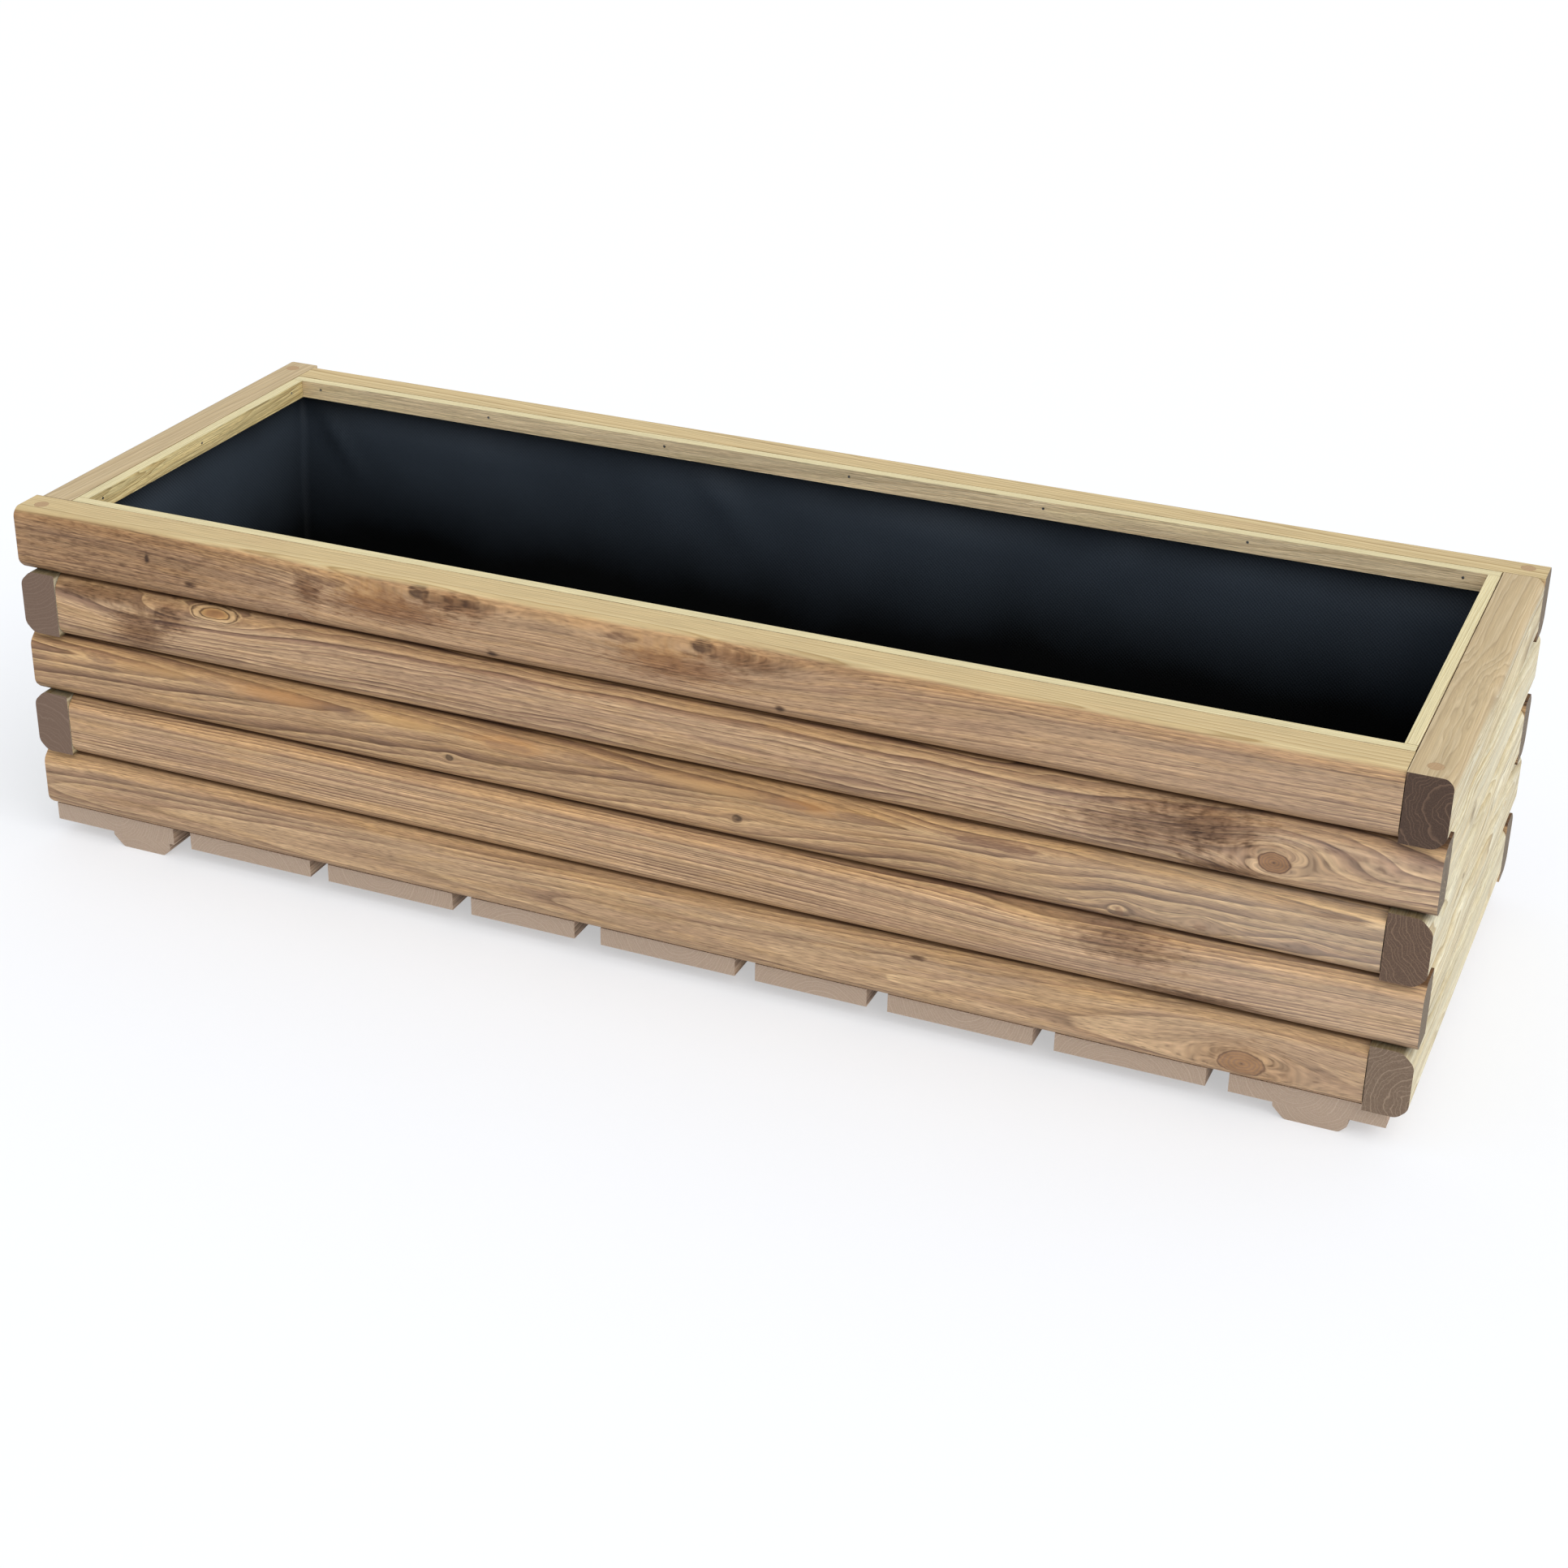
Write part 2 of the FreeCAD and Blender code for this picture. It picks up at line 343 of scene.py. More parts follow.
# Sawn pine under a thin pinkish stain, rougher and flatter than the boards.
SAWN = SoftwoodFinish(
    name="pale_pine_sawn", spring="d2b9a0", middle="c6ac94", summer="b69c86",
    autumn="a28872", line="80685a", plain="c0a690", smoke="a08676", honey="c6a684",
    rim="b8957a", rim_pale="b8957a", rim_line="b8957a", end_dark="b39c88",
    end_light="c8b4a0", knot="9a6f4e", bark="6b4c38",
    rim_share=0.0, bevel_highlight_share=0.0, sawn=True, relief=0.6, fuzz=0.36)


# The lengths of the grain's patterns along, into and up the timber, in millimetres. Real fibres
# and pores are under 0.1 mm wide, so the finest patterns are drawn about 1 mm wide to show.
SWING_GRAIN = (240.0, 4000.0, 4000.0)
WAVES = (((120.0, 16.0, 16.0), 2.0), ((34.0, 4.0, 4.0), 0.44))
FIBRE_GRAIN = (80.0, 1.3, 1.3)
BLOTCH_GRAIN = (190.0, 26.0, 26.0)
CLOUD_GRAIN = (70.0, 7.0, 7.0)
SPECK_GRAIN = (11.0, 0.8, 0.8)
FEATHER_GRAIN = (13.0, 5.0, 5.0)
# How far one seed moves the patterns, and the spells of wide and narrow rings.
SEED_STEP = (97.0, 61.0, 43.0)
SPELL_PER_RING = 0.37
SPELL_RINGS = 1.6
# How quickly the grain straightens beside a mark, along and up, and how deep a mark goes.
FLOW_REACH = (0.55, 0.0, 0.8)
MARK_DEPTH = 30.0


def grain_group() -> Nodes:
    """Make the node group that grows a softwood's rings, fibres and blotches.

    Returns:
        The group. Its lengths are millimetres in the timber's own frame.
    """
    tree, given, result = new_group(
        "softwood_grain",
        {"Place": "Vector", "Pith": "Vector", "Slope": "Float", "Crown": "Float",
         "Squash": "Float", "Ring": "Float", "Sway": "Float", "Ripple": "Float",
         "Seed": "Float"},
        {"Phase": "Float", "Year": "Float", "Spell": "Float", "Fibre": "Float",
         "Blotch": "Color", "Cloud": "Color", "Speck": "Float", "Feather": "Color"})
    add = partial(add_node, tree)
    seed = given["Seed"]
    place = given["Place"]
    shift = add("VectorMath:SCALE", {0: SEED_STEP, "Scale": seed})
    shifted = add("VectorMath:ADD", (place, shift))

    def noise_over(lengths: Vec3, detail: float, output: str, steady: float = 0.5) -> Socket:
        """Return noise whose grains have these lengths along, into and up the timber.

        Args:
            lengths: the grains' lengths in millimetres.
            detail: how many finer layers it has.
            output: Fac or Color.
            steady: how strong each finer layer is.

        Returns:
            The noise.
        """
        scaled = add("VectorMath:MULTIPLY", (shifted, tuple(1 / length for length in lengths)))
        return add(
            "TexNoise",
            {"Vector": scaled, "Scale": 1.0, "Detail": detail, "Roughness": steady}, output)

    swing = noise_over(SWING_GRAIN, 0.0, "Color")
    swing = add("VectorMath:SUBTRACT", (swing, (0.5, 0.5, 0.5)))
    swing = add("VectorMath:SCALE", {0: swing, "Scale": given["Sway"]})
    off = add("VectorMath:SUBTRACT", (place, given["Pith"]))
    off = add("VectorMath:ADD", (off, swing))
    parts = add("SeparateXYZ", (off,)).node.outputs
    across = add("Math:MULTIPLY", (parts[2], given["Squash"]))
    cross = add("CombineXYZ", (0.0, parts[1], across))
    radius = add("VectorMath:LENGTH", (cross,), "Value")
    along = add("Math:MULTIPLY", (parts[0], given["Slope"]))
    reach = add("Math:MULTIPLY_ADD", (radius, given["Crown"], along))
    rings = add("Math:DIVIDE", (reach, given["Ring"]))
    for lengths, swell in WAVES:
        wave = noise_over(lengths, 0.0, "Fac")
        wave = add("Math:SUBTRACT", (wave, 0.5))
        wave = add("Math:MULTIPLY", (wave, given["Ripple"]))
        rings = add("Math:MULTIPLY_ADD", (wave, swell, rings))
    spell = add("Math:MULTIPLY_ADD", (rings, SPELL_PER_RING, seed))
    spell = add("TexNoise:1D", {"W": spell, "Scale": 1.0, "Detail": 0.0}, "Fac")
    rings = add("Math:MULTIPLY_ADD", (spell, SPELL_RINGS, rings))
    year = add("Math:FLOOR", (rings,))
    year = add("Math:ADD", (year, seed))
    for name, made in (
            ("Phase", add("Math:FRACT", (rings,))),
            ("Year", add("TexWhiteNoise:1D", {"W": year}, "Value")),
            ("Spell", spell),
            ("Fibre", noise_over(FIBRE_GRAIN, 2.0, "Fac", 0.6)),
            ("Blotch", noise_over(BLOTCH_GRAIN, 1.0, "Color")),
            ("Cloud", noise_over(CLOUD_GRAIN, 1.0, "Color")),
            ("Speck", noise_over(SPECK_GRAIN, 1.0, "Fac")),
            ("Feather", noise_over(FEATHER_GRAIN, 2.0, "Color", 0.6))):
        tree.links.new(made, result[name])
    return tree


def mark_group() -> Nodes:
    """Make the node group that bends the grain round a mark.

    Returns:
        The group. It moves each place as the grain flows round the mark, and says how far from
        the mark's middle the place is, in the mark's own half sizes.
    """
    tree, given, result = new_group(
        "grain_round_mark",
        {"Place": "Vector", "Bent": "Vector", "Seat": "Vector", "Sizes": "Vector",
         "Flow": "Float"},
        {"Bent": "Vector", "Distance": "Float"})
    add = partial(add_node, tree)
    off = add("VectorMath:SUBTRACT", (given["Place"], given["Seat"]))
    share = add("VectorMath:DIVIDE", (off, given["Sizes"]))
    wide = add("VectorMath:MULTIPLY", (share, FLOW_REACH))
    square = add("VectorMath:DOT_PRODUCT", (wide, wide), "Value")
    square = add("Math:ADD", (square, 1.0))
    pull = add("Math:DIVIDE", (given["Flow"], square))
    pull = add("CombineXYZ", (0.0, 0.0, pull))
    shift = add("VectorMath:MULTIPLY", (off, pull))
    bent = add("VectorMath:SUBTRACT", (given["Bent"], shift))
    distance = add("VectorMath:LENGTH", (share,), "Value")
    tree.links.new(bent, result["Bent"])
    tree.links.new(distance, result["Distance"])
    return tree


# The colours through one ring, a knot, its eye, a torn patch, the rim and a sawn end. The first
# two stops are the ones that a new ramp has.
RING_TONES = (
    (0.0, "middle"), (0.96, "line"), (0.1, "spring"), (0.34, "middle"), (0.6, "summer"),
    (0.82, "autumn"), (1.0, "middle"))
KNOT_TONES = (
    (0.0, "bark"), (1.0, "middle"), (0.08, "autumn"), (0.2, "knot"), (0.3, "autumn"),
    (0.38, "knot"), (0.5, "autumn"), (0.57, "knot"), (0.7, "autumn"), (0.76, "knot"),
    (0.84, "autumn"), (0.89, "line"), (0.95, "summer"))
EYE_TONES = (
    (0.0, "knot"), (1.0, "autumn"), (0.3, "knot"), (0.46, "honey"), (0.52, "bark"),
    (0.6, "spring"), (0.74, "spring"), (0.83, "bark"), (0.9, "spring"))
TORN_TONES = ((0.3, "autumn"), (0.72, "spring"), (0.42, "summer"), (0.54, "honey"))
RIM_TONES = (
    (0.0, "rim"), (0.95, "rim_line"), (0.12, "rim_pale"), (0.4, "rim"), (0.74, "rim"),
    (1.0, "rim"))
END_TONES = ((0.0, "end_dark"), (0.93, "end_light"), (0.78, "end_dark"), (1.0, "end_dark"))

# Bands on the grain's noises: where each starts and stops, and its share at each.
VAGUE_BAND = (0.4, 0.7, 0.0, 0.4)
PORE_BAND = (0.64, 0.76, 0.0, 0.4)
KNOT_STREAKS = (0.3, 0.7, 0.8, 1.15)
TIP_STREAKS = (0.35, 0.6, 0.6, 1.0)
RIM_STREAKS = (0.3, 0.7, 0.86, 1.1)
END_DOTS = (0.45, 0.75, 0.0, 0.5)
STREAK_ENDS = (0.3, 0.7)
SPELL_ENDS = (0.28, 0.72)
BLOTCH_WIDTH = 0.18
SMUDGE_WIDTH = 0.2
# Marks fade out between these distances from their middles, in their own half sizes.
KNOT_FADE = (1.12, 0.88)
TIP_FADE = (1.15, 0.75)
SOFT_FADE = (1.35, 0.25)
# Millimetres: the painted warm highlight on the bevel below the brink, and the paler, greyer far
# end of a board.
BEVEL_HIGHLIGHT_FADE = (-19.0, -8.0)
PALE_END_FADE = (250.0, 640.0)
PALE_END_TINT = "4c565e"
SMUDGE_CORE = "ccc2ba"
# The cosine between the grain and a face, from which the face is a sawn end.
END_BAND = (0.6, 0.8, 0.0, 1.0)
# The pale side of a streak goes this share as far as its dark side.
PALE_SHARE = 0.8


@dataclass
class Coat:
    """The colour of one timber, laid on layer by layer in the nodes of its material.

    It holds the timber, its finish, what adds a node, the place and the surface's normal in
    the timber's own frame, the grain group's outputs and three ragged noises.
    """

    timber: Timber
    finish: SoftwoodFinish
    add: Callable[..., Socket]
    place: Socket
    facing: Socket
    grain: Any
    feather: Any

    def lay_band(
        self, colour: Socket, level: Socket, band: Band, over: Socket | str,
        blend: str = "MIX", ease: str = "SMOOTHSTEP",
    ) -> Socket:
        """Lay a colour on where a level runs through a band.

        Args:
            colour: the colour so far.
            level: what the band is measured on, such as a noise or a height.
            band: the levels at which it starts and stops, and its share at each.
            over: the colour laid on.
            blend: MIX covers, MULTIPLY darkens and ADD lightens.
            ease: SMOOTHSTEP has soft ends, and LINEAR has none.

        Returns:
            The new colour.
        """
        share = self.add(f"MapRange:{ease}", (level, *band))
        return self.add(f"Mix:{blend}", {SHARE: share, BELOW: colour, OVER: over}, MIXED)

    def shade_by(self, colour: Socket, level: Socket) -> Socket:
        """Make a colour darker or lighter by a level.

        Args:
            colour: the colour so far.
            level: what it is multiplied by.

        Returns:
            The new colour.
        """
        grey = self.add("CombineXYZ", (level, level, level))
        return self.add("Mix:MULTIPLY", {SHARE: 1.0, BELOW: colour, OVER: grey}, MIXED)

    def lay_face(self) -> Socket:
        """Colour the plain grain: rings, then smoky and golden blotches, fibres and pores.

        Returns:
            The colour.
        """
        add, timber, finish, grain = self.add, self.timber, self.finish, self.grain
        early = add("Math:MULTIPLY_ADD", (grain["Year"], 0.8, timber.early))
        phase = add("Math:POWER", (grain["Phase"], early))
        rings = add("ValToRGB", (phase,), stops=finish.stops(RING_TONES))
        blotch = add("SeparateColor", (grain["Blotch"],)).node.outputs
        cloud = add("SeparateColor", (grain["Cloud"],)).node.outputs
        # The rings of some years are fainter, and all of them are in vague patches.
        faint = add("Math:MULTIPLY_ADD", (grain["Year"], 0.7, 0.75 - timber.contrast))
        vague = add("MapRange:SMOOTHSTEP", (blotch[2], *VAGUE_BAND))
        faint = add("Math:ADD", (faint, vague), use_clamp=True)
        colour = add("Mix", {SHARE: faint, BELOW: rings, OVER: finish.plain}, MIXED)
        for level, start, share, over in (
                (blotch[0], 0.5, 0.26, finish.smoke), (blotch[1], 0.52, 0.3, finish.honey),
                (cloud[0], 0.52, 0.22, finish.smoke), (cloud[1], 0.53, 0.24, finish.honey)):
            colour = self.lay_band(
                colour, level, (start, start + BLOTCH_WIDTH, 0.0, share), over)
        spell, streak, fleck = (
            add("MapRange", (grain[name], *ends, 1.0 - dark, 1.0 + pale))
            for name, ends, dark, pale in (
                ("Spell", SPELL_ENDS, finish.spell, PALE_SHARE * finish.spell),
                ("Fibre", STREAK_ENDS, finish.fuzz, PALE_SHARE * finish.fuzz),
                ("Speck", STREAK_ENDS, -finish.fleck, -finish.fleck)))
        streak = add("Math:MULTIPLY", (streak, fleck))
        streak = add("Math:MULTIPLY", (streak, spell))
        colour = self.shade_by(colour, streak)
        # Towards its far end the board turns paler and greyer, by its pale share.
        along = add("SeparateXYZ", (self.place,)).node.outputs[0]
        colour = self.lay_band(
            colour, along, (*PALE_END_FADE, 0.0, timber.pale), PALE_END_TINT, "ADD", "LINEAR")
        return self.lay_band(colour, grain["Speck"], PORE_BAND, finish.line, ease="LINEAR")

    def lay_mark(self, colour: Socket, mark: Mark, shape: Any) -> Socket:
        """Colour a mark over the board's grain.

        Args:
            colour: the colour so far.
            mark: the mark.
            shape: the mark group's outputs.

        Returns:
            The colour with the mark on it.
        """
        add, finish, feather, speck = self.add, self.finish, self.feather, self.grain["Speck"]
        kind = mark.kind
        if kind is FLOW:
            return colour
        ragged = add("Math:MULTIPLY_ADD", (feather[0], kind.value, 1.0 - 0.5 * kind.value))
        distance = add("Math:MULTIPLY", (shape["Distance"], ragged))
        if kind in (KNOT, EYE):
            tones = KNOT_TONES if kind is KNOT else EYE_TONES
            over = add("ValToRGB", (distance,), stops=finish.stops(tones))
            streak = add("MapRange", (feather[1], *KNOT_STREAKS))
            over = self.shade_by(over, streak)
            return self.lay_band(colour, distance, (*KNOT_FADE, 0.0, mark.share), over)
        soft = (*SOFT_FADE, 0.0, mark.share)
        if kind is GLOW:
            return self.lay_band(colour, distance, soft, mark.tint)
        if kind is TORN:
            over = add("ValToRGB", (feather[1],), stops=finish.stops(TORN_TONES))
            return self.lay_band(colour, distance, soft, over)
        if kind is TIP:
            inside = add("MapRange", (distance, *TIP_FADE, 0.0, mark.share))
            streak = add("MapRange", (speck, *TIP_STREAKS))
            inside = add("Math:MULTIPLY", (inside, streak))
            return add("Mix", {SHARE: inside, BELOW: colour, OVER: mark.tint}, MIXED)
        inside = add("MapRange:SMOOTHSTEP", (distance, *soft))
        patchy = add("Math:MULTIPLY_ADD", (speck, 0.7, feather[2]))
        for start, share, over in ((0.5, 0.6, mark.tint), (0.84, 0.0, SMUDGE_CORE)):
            spot = add("MapRange", (patchy, start, start + SMUDGE_WIDTH, share, 1.0))
            spot = add("Math:MULTIPLY", (inside, spot))
            colour = add("Mix:MULTIPLY", {SHARE: spot, BELOW: colour, OVER: over}, MIXED)
        return colour

    def lay_edges(self, colour: Socket) -> Socket:
        """Colour the bevels with a painted warm highlight, the rim, the grooves and lower bevels
        with painted shade, and the sawn ends.

        Args:
            colour: the colour so far.

        Returns:
            The finished colour.
        """
        add, timber, finish, grain = self.add, self.timber, self.finish, self.grain
        colour = add("Mix:MULTIPLY", {SHARE: 1.0, BELOW: colour, OVER: timber.tone}, MIXED)
        up = add("SeparateXYZ", (self.place,)).node.outputs[2]
        low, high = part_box(timber.node)
        half = abs((high - low).dot(Vector(timber.axis.value[2]))) / 2 * PER_METRE
        # The brink is the height from the top edge, strayed by the blotches.
        stray = add("VectorMath:SCALE", {0: grain["Blotch"], "Scale": finish.stray})
        stray = add("SeparateXYZ", (stray,)).node.outputs[1]
        brink = add("Math:ADD", (up, stray))
        brink = add("Math:SUBTRACT", (brink, half + 0.5 * finish.stray))
        # A warm tint painted on the upper bevel stands in for its highlight.
        colour = self.lay_band(
            colour, brink, (*BEVEL_HIGHLIGHT_FADE, 0.0, finish.bevel_highlight_share), finish.bevel, "MULTIPLY")
        lines = add("ValToRGB", (grain["Phase"],), stops=finish.stops(RIM_TONES))
        streak = add("MapRange", (grain["Fibre"], *RIM_STREAKS))
        lines = self.shade_by(lines, streak)
        rim_share = finish.rim_share * (1.0 - timber.shade_above)
        colour = self.lay_band(colour, brink, (*finish.rim_band, 0.0, rim_share), lines)
        # Painted shade on each board's lower bevel and in the grooves where the courses meet.
        for start, stop, share, over in (
                (15.0 - half, 9.0 - half, 0.8 * timber.shade_below, finish.underside_shade),
                (half - 4.0, half - 1.0, 0.9 * timber.shade_above, finish.groove_shade),
                (4.0 - half, 1.0 - half, 0.9 * timber.shade_below, finish.groove_shade)):
            colour = self.lay_band(colour, up, (start, stop, 0.0, share), over, "MULTIPLY")
        end = add("ValToRGB", (grain["Phase"],), stops=finish.stops(END_TONES))
        end = self.lay_band(end, grain["Fibre"], END_DOTS, finish.end_light, ease="LINEAR")
        butt = add("SeparateXYZ", (self.facing,)).node.outputs[0]
        butt = add("Math:ABSOLUTE", (butt,))
        return self.lay_band(colour, butt, END_BAND, end, ease="LINEAR")


@dataclass
class Workshop:
    """Finishes the timbers: each gets a material of its own from the shared grain groups."""

    grain: Nodes = field(default_factory=grain_group)
    mark: Nodes = field(default_factory=mark_group)
    relief_mm: float = 0.8

    def own_frame(self, tree: Nodes, timber: Timber) -> tuple[Socket, Socket]:
        """Turn object coordinates into the timber's own frame.

        Args:
            tree: the material's nodes.
            timber: the piece to finish.

        Returns:
            The place in millimetres, from the wall's middle, the best face and the board's
            middle height, and the surface's normal in the same frame.
        """
        low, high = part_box(timber.node)
        rows = Matrix(timber.axis.value)
        middle = (low + high) / 2
        inward = rows[1]
        origin = middle - inward * abs(((high - low) / 2).dot(inward))
        origin -= rows[0] * origin.dot(rows[0])
        turn = rows.to_euler()
        add = partial(add_node, tree)
        coords = add("TexCoord").node.outputs
        place = add(
            "Mapping", (coords["Object"], -(rows @ origin) * PER_METRE, turn, (PER_METRE,) * 3))
        facing = add(
            "Mapping", {"Vector": coords["Normal"], "Rotation": turn}, vector_type="VECTOR")
        return place, facing

    def finish(self, timber: Timber, finish: SoftwoodFinish) -> None:
        """Give a timber's node its own material.

        Args:
            timber: the piece to finish.
            finish: its colours and surface.
        """
        made, tree = new_material(f"{finish.name}_{timber.node}")
        add = partial(add_node, tree)
        place, facing = self.own_frame(tree, timber)
        bent = place
        shapes = []
        for mark in timber.marks:
            shape = add(
                "Group",
                {"Place": place, "Bent": bent, "Seat": (mark.along, 0.0, mark.up),
                 "Sizes": (mark.length, MARK_DEPTH, mark.height), "Flow": mark.flow},
                node_tree=self.mark).node.outputs
            bent = shape["Bent"]
            shapes.append(shape)
        grain = add(
            "Group",
            {"Place": bent, "Pith": (0.0, timber.pith_depth, timber.pith_up),
             "Slope": timber.slope, "Crown": timber.crown, "Squash": timber.squash,
             "Ring": timber.ring, "Sway": timber.sway, "Ripple": timber.ripple,
             "Seed": timber.seed}, node_tree=self.grain).node.outputs
        feather = add("SeparateColor", (grain["Feather"],)).node.outputs
        coat = Coat(timber, finish, add, place, facing, grain, feather)
        colour = coat.lay_face()
        for mark, shape in zip(timber.marks, shapes):
            colour = coat.lay_mark(colour, mark, shape)
        colour = coat.lay_edges(colour)
        # Each ring falls a little towards its autumn line, and a saw tears the fibres up.
        height = add("Math:MULTIPLY_ADD", (grain["Phase"], -0.4, grain["Fibre"]))
        if finish.sawn:
            height = add("Math:MULTIPLY_ADD", (grain["Speck"], 1.2, height))
        normal = add(
            "Bump",
            {"Height": height, "Strength": finish.relief, "Distance": self.relief_mm * MM})
        set_surface(tree, add(
            "BsdfPrincipled",
            {"Base Color": colour, "Roughness": finish.roughness, "Normal": normal,
             "Specular IOR Level": 0.3}))
        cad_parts[timber.node].material_slots[0].material = made


FRONT_TIMBERS = (
    Timber("front_board_1", Axis.FRONT, 1, pith_depth=4, pith_up=62, slope=0.004,
        squash=0.8, ring=3, ripple=0.55, contrast=0.6, tone="f5ece0", shade_above=0,
        pale=0.4, marks=(
        Mark(SMUDGE, -640, 0, 230, 70, 0.75, "d2c6b8"), Mark(FLOW, -245, 34, 60, 24, flow=1.3),
        Mark(FLOW, 62, 34, 60, 24, flow=1.3), Mark(FLOW, -340, -10, 60, 22, flow=-0.7),
        Mark(FLOW, -33, -10, 60, 22, flow=-0.7), Mark(TORN, -330, 14, 62, 17, 0.4),
        Mark(TORN, -10, 13, 46, 17, 0.4), Mark(GLOW, -318, 12, 42, 12, 0.36, "c89c64"),
        Mark(GLOW, -8, 12, 38, 12, 0.36, "c89c64"), Mark(TIP, -372, 20, 24, 5, 0.75, "7a5d48"),
        Mark(SMUDGE, -395, 6, 16, 18, 0.9, "b8a698"), Mark(SMUDGE, -300, 2, 80, 16, 0.8, "c4aa92"),
        Mark(TIP, -325, 6, 34, 2.6, 0.5, "8e6c50"), Mark(TIP, -290, 13, 30, 2.4, 0.5, "8e6c50"),
        Mark(SMUDGE, -225, 20, 50, 12, 0.9, "b6a290"), Mark(TIP, -268, 27, 12, 7, 0.9, "523c2e"),
        Mark(TIP, -47, 20, 20, 5, 0.75, "7a5d48"), Mark(SMUDGE, 10, 0, 70, 16, 0.8, "c4aa92"),
        Mark(TIP, -18, 6, 34, 2.6, 0.5, "8e6c50"), Mark(SMUDGE, 84, 20, 50, 12, 0.9, "b6a290"),
        Mark(TIP, 38, 27, 12, 7, 0.9, "523c2e"), Mark(KNOT, -411, -30, 14, 8, 0.7, flow=0.9),
        Mark(BARK, -587, 7, 3, 6, 0.9), Mark(BARK, -537, -13, 9, 3, 0.9),
        Mark(BARK, -188, -25, 6, 4, 0.9), Mark(BARK, 120, -23, 6, 4, 0.9))),
    Timber("front_board_2", Axis.FRONT, 2, pith_depth=0, pith_up=-70, slope=0.004,
        squash=0.8, ring=4.6, ripple=0.8, sway=8, tone="f6efe6", pale=0.45, marks=(
        Mark(FLOW, -640, 22, 46, 22, flow=0.6), Mark(FLOW, -590, -14, 40, 20, flow=-0.5),
        Mark(EYE, -512, 27, 34, 9, 0.9, flow=1.5), Mark(SMUDGE, -605, -8, 34, 28, 1, "bcaea4"),
        Mark(SMUDGE, -565, 14, 24, 18, 1, "bcaea4"), Mark(SMUDGE, -655, 24, 60, 9, 0.9, "b4a69a"),
        Mark(SMUDGE, 545, 15, 60, 20, 1, "bcafa5"), Mark(SMUDGE, 490, 2, 80, 26, 0.8, "c4b8ae"),
        Mark(SMUDGE, 560, -26, 44, 8, 1, "b4a69a"), Mark(FLOW, 690, 10, 60, 26, flow=0.8),
        Mark(TIP, 668, 13, 34, 3.5, 0.45, "8d7160"), Mark(KNOT, 602, -9, 16.5, 11.5, flow=1.6))),
    Timber("front_board_3", Axis.FRONT, 3, pith_depth=-3, pith_up=20, slope=0.042,
        squash=0.7, ring=6.4, ripple=0.45, early=0.3, tone="f6eddc", pale=1, marks=(
        Mark(GLOW, -590, 18, 70, 6, 0.46, "cba472"), Mark(GLOW, -440, 18, 70, 8, 0.59, "c49463"),
        Mark(GLOW, -290, 18, 60, 7, 0.59, "d0aa76"), Mark(GLOW, -170, 18, 50, 8, 0.59, "c49463"),
        Mark(GLOW, 40, 18, 90, 7, 0.53, "cfa97c"), Mark(GLOW, 150, 18, 40, 7, 0.59, "c49463"),
        Mark(TIP, -658, 19, 20, 4.5, 0.7, "8d7160"), Mark(TIP, -525, 18, 28, 4.5, 0.6, "947764"),
        Mark(TIP, -358, 18, 30, 4.5, 0.7, "8d7160"), Mark(TIP, -175, 17, 28, 4.5, 0.6, "947764"),
        Mark(TIP, -90, 20, 22, 4, 0.5, "947764"), Mark(TIP, -34, 17, 24, 3.6, 0.6, "8d7160"),
        Mark(TIP, 128, 17, 24, 4, 0.6, "947764"), Mark(TIP, 205, 18, 30, 4.5, 0.7, "8d7160"),
        Mark(FLOW, 285, 14, 26, 18, flow=-0.8), Mark(TIP, 343, 20, 50, 5, 0.9, "86695a"),
        Mark(TIP, 530, 18, 24, 3, 0.5, "947c6c"), Mark(TIP, 665, 18, 24, 4, 0.6, "8d7464"),
        Mark(TIP, -240, -10, 5, 4, 0.9, "4f3d30", 1.2),
        Mark(TIP, 77, -10, 5, 4, 0.9, "4f3d30", 1.2), Mark(FLOW, 463, -22, 9, 8, flow=1.4),
        Mark(TIP, 464, -22, 4, 5, 0.6, "86695a"), Mark(FLOW, 540, -20, 11, 8, flow=1.4),
        Mark(TIP, 541, -21, 7, 4, 0.55, "86695a"), Mark(FLOW, 636, -20, 9, 5, flow=1.2))),
    Timber("front_board_4", Axis.FRONT, 4, pith_depth=0, pith_up=110, slope=0.002,
        squash=0.85, ring=2.8, ripple=0.3, sway=5, contrast=0.95, tone="fff8ee",
        pale=0.45, marks=(
        Mark(FLOW, 400, 34, 80, 30, flow=0.8), Mark(SMUDGE, 475, 13, 60, 20, 0.8, "c2b6ab"),
        Mark(SMUDGE, 540, -27, 70, 8, 0.9, "a89a8e"))),
    Timber("front_board_5", Axis.FRONT, 5, pith_depth=-14, pith_up=-8, slope=0.022,
        crown=-1, squash=0.8, ring=4.6, ripple=0.3, contrast=0.55, tone="fffaf0",
        shade_below=0.2, pale=0.2, marks=(
        Mark(FLOW, 595, -16, 60, 26, flow=0.6), Mark(SMUDGE, 595, -15, 52, 27, 0.6, "e2d4c6"),
        Mark(KNOT, 593, -15, 25, 14, 0.85, flow=1.2), Mark(BARK, 268, 20, 8, 3, 0.8))),
)


